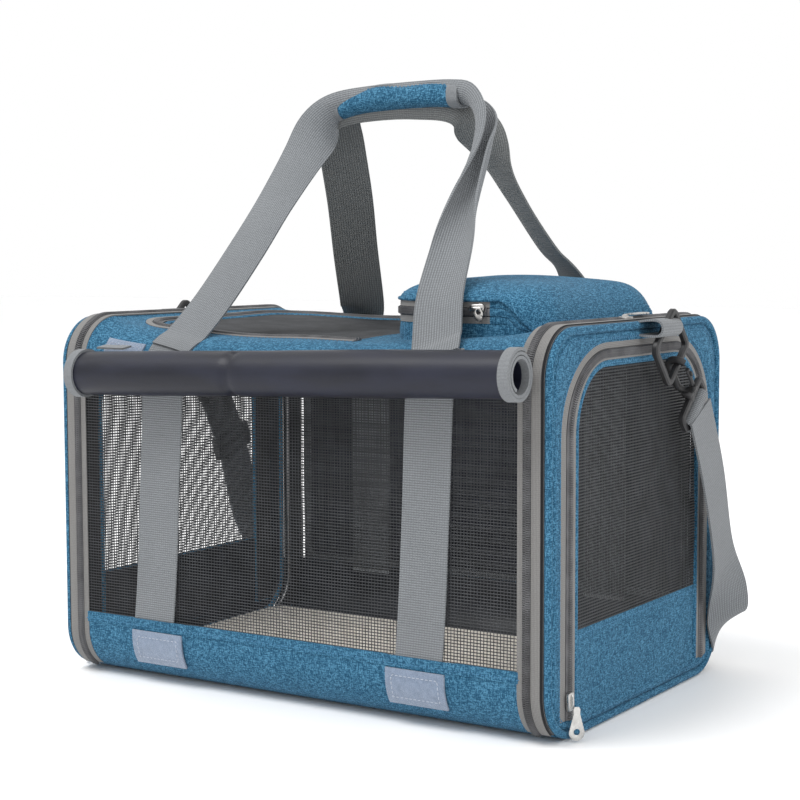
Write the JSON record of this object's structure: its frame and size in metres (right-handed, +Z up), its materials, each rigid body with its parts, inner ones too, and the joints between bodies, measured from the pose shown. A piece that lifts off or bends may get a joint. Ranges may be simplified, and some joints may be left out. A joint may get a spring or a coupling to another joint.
{
  "type": "soft pet transport carrier",
  "caption": "Soft-sided pet carrier: mesh windows and fold-down end doors, mesh top door, top pocket, webbing handles with wrap grip, rolled cover and shoulder strap.",
  "frame": {"origin": "centre of the base, where the carrier stands", "axes": "+Z up, +X along the carrier towards the end with the pocket, -Y towards the side with the rolled-up cover"},
  "size_m": [0.471, 0.3658, 0.4578],
  "materials": {
    "blue_fabric": "heathered woven polyester, matt",
    "window_mesh": "open knitted mesh, matt",
    "zip_tape": "woven tape with coil teeth",
    "grey_webbing": "ribbed webbing, matt",
    "grey_binding": "woven binding tape",
    "cover_lining": "coated cloth, satin",
    "hook_loop": "hook-and-loop tape, fuzzy",
    "pad_plush": "short plush",
    "board": "rigid board",
    "steel_wire": "drawn wire",
    "slider_metal": "plated zinc",
    "black_plastic": "moulded acetal, satin"
  },
  "bodies": {
    "carrier": {"bottom_panel": "blue_fabric", "front_lower_band": "blue_fabric", "back_lower_band": "blue_fabric", "front_mesh_window": "window_mesh", "back_mesh_window": "window_mesh", "front_upper_band": "blue_fabric", "back_upper_band": "blue_fabric", "top_panel": "blue_fabric", "top_door_zip": "zip_tape", "right_end_panel": "blue_fabric", "left_end_panel": "blue_fabric", "right_door_zip": "zip_tape", "left_door_zip": "zip_tape", "right_end_piping": "blue_fabric", "left_end_piping": "blue_fabric", "right_end_zip": "zip_tape", "left_end_zip": "zip_tape", "wire_frames": "steel_wire", "base_board": "board", "floor_pad": "pad_plush", "pocket_wall": "blue_fabric", "pocket_zip": "zip_tape", "front_webbing": "grey_webbing", "back_webbing": "grey_webbing", "hook_loop_patches": "hook_loop"},
    "right_door": {"right_door_binding": "blue_fabric", "right_door_panel": "blue_fabric", "right_door_mesh": "window_mesh"},
    "left_door": {"left_door_binding": "blue_fabric", "left_door_panel": "blue_fabric", "left_door_mesh": "window_mesh"},
    "top_door": {"top_door_binding": "grey_binding", "top_door_mesh": "window_mesh"},
    "pocket_lid": {"pocket_lid": "blue_fabric"},
    "front_handle": {"front_handle": "grey_webbing", "grip_wrap": "blue_fabric", "grip_binding": "grey_binding"},
    "back_handle": {"back_handle": "grey_webbing"},
    "front_cover": {"front_cover_roll": "cover_lining", "front_cover_binding": "grey_binding", "front_cover_tabs": "cover_lining"},
    "back_cover": {"back_cover": "cover_lining", "back_cover_binding": "grey_binding"},
    "shoulder_strap": {"shoulder_strap": "grey_webbing", "ring_tabs": "grey_webbing", "right_ring": "black_plastic", "left_ring": "black_plastic", "right_snap_hook": "black_plastic", "left_snap_hook": "black_plastic"},
    "strap_adjuster": {"strap_adjuster": "black_plastic"},
    "right_hook_gate": {"right_hook_gate": "black_plastic"},
    "left_hook_gate": {"left_hook_gate": "black_plastic"},
    "right_door_slider": {"right_door_slider": "slider_metal"},
    "left_door_slider": {"left_door_slider": "slider_metal"},
    "right_door_pull": {"right_door_pull": "slider_metal"},
    "left_door_pull": {"left_door_pull": "slider_metal"},
    "end_zip_slider": {"end_zip_slider": "slider_metal"},
    "end_zip_pull": {"end_zip_pull": "slider_metal"},
    "pocket_slider": {"pocket_slider": "slider_metal"},
    "pocket_pull": {"pocket_pull": "slider_metal"}
  },
  "joints": [
    {"name": "right_door_fold", "type": "hinge", "parent": "carrier", "child": "right_door", "pos_m": [0.213, 0, 0.0156], "axis": [0, -1, 0], "range_deg": [0, 80]},
    {"name": "left_door_fold", "type": "hinge", "parent": "carrier", "child": "left_door", "pos_m": [-0.213, 0, 0.0156], "axis": [0, 1, 0], "range_deg": [0, 88]},
    {"name": "top_door_fold", "type": "hinge", "parent": "carrier", "child": "top_door", "pos_m": [0.0328, 0, 0.279], "axis": [0, 1, 0], "range_deg": [-80, 9]},
    {"name": "pocket_lid_lift", "type": "hinge", "parent": "carrier", "child": "pocket_lid", "pos_m": [0.188, 0, 0.298], "axis": [0, 1, 0], "range_deg": [0, 4]},
    {"name": "front_handle_swing", "type": "hinge", "parent": "carrier", "child": "front_handle", "pos_m": [0, -0.13582, 0.26574], "axis": [1, 0, 0], "range_deg": [0, 112]},
    {"name": "back_handle_swing", "type": "hinge", "parent": "carrier", "child": "back_handle", "pos_m": [0, 0.13582, 0.26574], "axis": [-1, 0, 0], "range_deg": [0, 112]},
    {"name": "front_cover_lift", "type": "hinge", "parent": "carrier", "child": "front_cover", "pos_m": [0, -0.1437, 0.2595], "axis": [-1, 0, 0], "range_deg": [0, 15]},
    {"name": "back_cover_lift", "type": "hinge", "parent": "carrier", "child": "back_cover", "pos_m": [0, 0.14515, 0.258], "axis": [1, 0, 0], "range_deg": [0, 85]},
    {"name": "shoulder_strap_swing", "type": "hinge", "parent": "carrier", "child": "shoulder_strap", "pos_m": [0.227, 0.014, 0.268], "axis": [1, 0, 0], "range_deg": [0, 150]},
    {"name": "right_gate_open", "type": "hinge", "parent": "shoulder_strap", "child": "right_hook_gate", "pos_m": [0.2335, 0.04625, 0.23218], "axis": [0, -0.7431, -0.6691], "range_deg": [0, 20], "stiffness_Nm_per_rad": 0.05, "springref_deg": -17.19},
    {"name": "left_gate_open", "type": "hinge", "parent": "shoulder_strap", "child": "left_hook_gate", "pos_m": [-0.2335, 0.04625, 0.23218], "axis": [0, 0.7431, 0.6691], "range_deg": [0, 20], "stiffness_Nm_per_rad": 0.05, "springref_deg": -17.19},
    {"name": "strap_adjuster_slide", "type": "slide", "parent": "shoulder_strap", "child": "strap_adjuster", "axis": [0, 0.3146, -0.9492], "range_m": [0, 0.08]},
    {"name": "right_door_slide", "type": "slide", "parent": "carrier", "child": "right_door_slider", "axis": [0, 0, 1], "range_m": [0, 0.13]},
    {"name": "left_door_slide", "type": "slide", "parent": "carrier", "child": "left_door_slider", "axis": [0, 0, 1], "range_m": [0, 0.13]},
    {"name": "right_door_pull_swing", "type": "hinge", "parent": "right_door_slider", "child": "right_door_pull", "pos_m": [0.2188, -0.1135, 0.0244], "axis": [0, -1, 0], "range_deg": [0, 170]},
    {"name": "left_door_pull_swing", "type": "hinge", "parent": "left_door_slider", "child": "left_door_pull", "pos_m": [-0.2188, -0.1135, 0.0244], "axis": [0, 1, 0], "range_deg": [0, 170]},
    {"name": "end_zip_slide", "type": "slide", "parent": "carrier", "child": "end_zip_slider", "axis": [0, 1, 0], "range_m": [-0.05, 0.05]},
    {"name": "end_zip_pull_swing", "type": "hinge", "parent": "end_zip_slider", "child": "end_zip_pull", "pos_m": [0.2005, 0.0036, 0.2844], "axis": [1, 0, 0], "range_deg": [0, 150]},
    {"name": "pocket_slide", "type": "slide", "parent": "carrier", "child": "pocket_slider", "axis": [1, 0, 0], "range_m": [-0.06, 0.014]},
    {"name": "pocket_pull_swing", "type": "hinge", "parent": "pocket_slider", "child": "pocket_pull", "pos_m": [0.134, -0.1001, 0.291], "axis": [-1, 0, 0], "range_deg": [0, 80]}
  ]
}
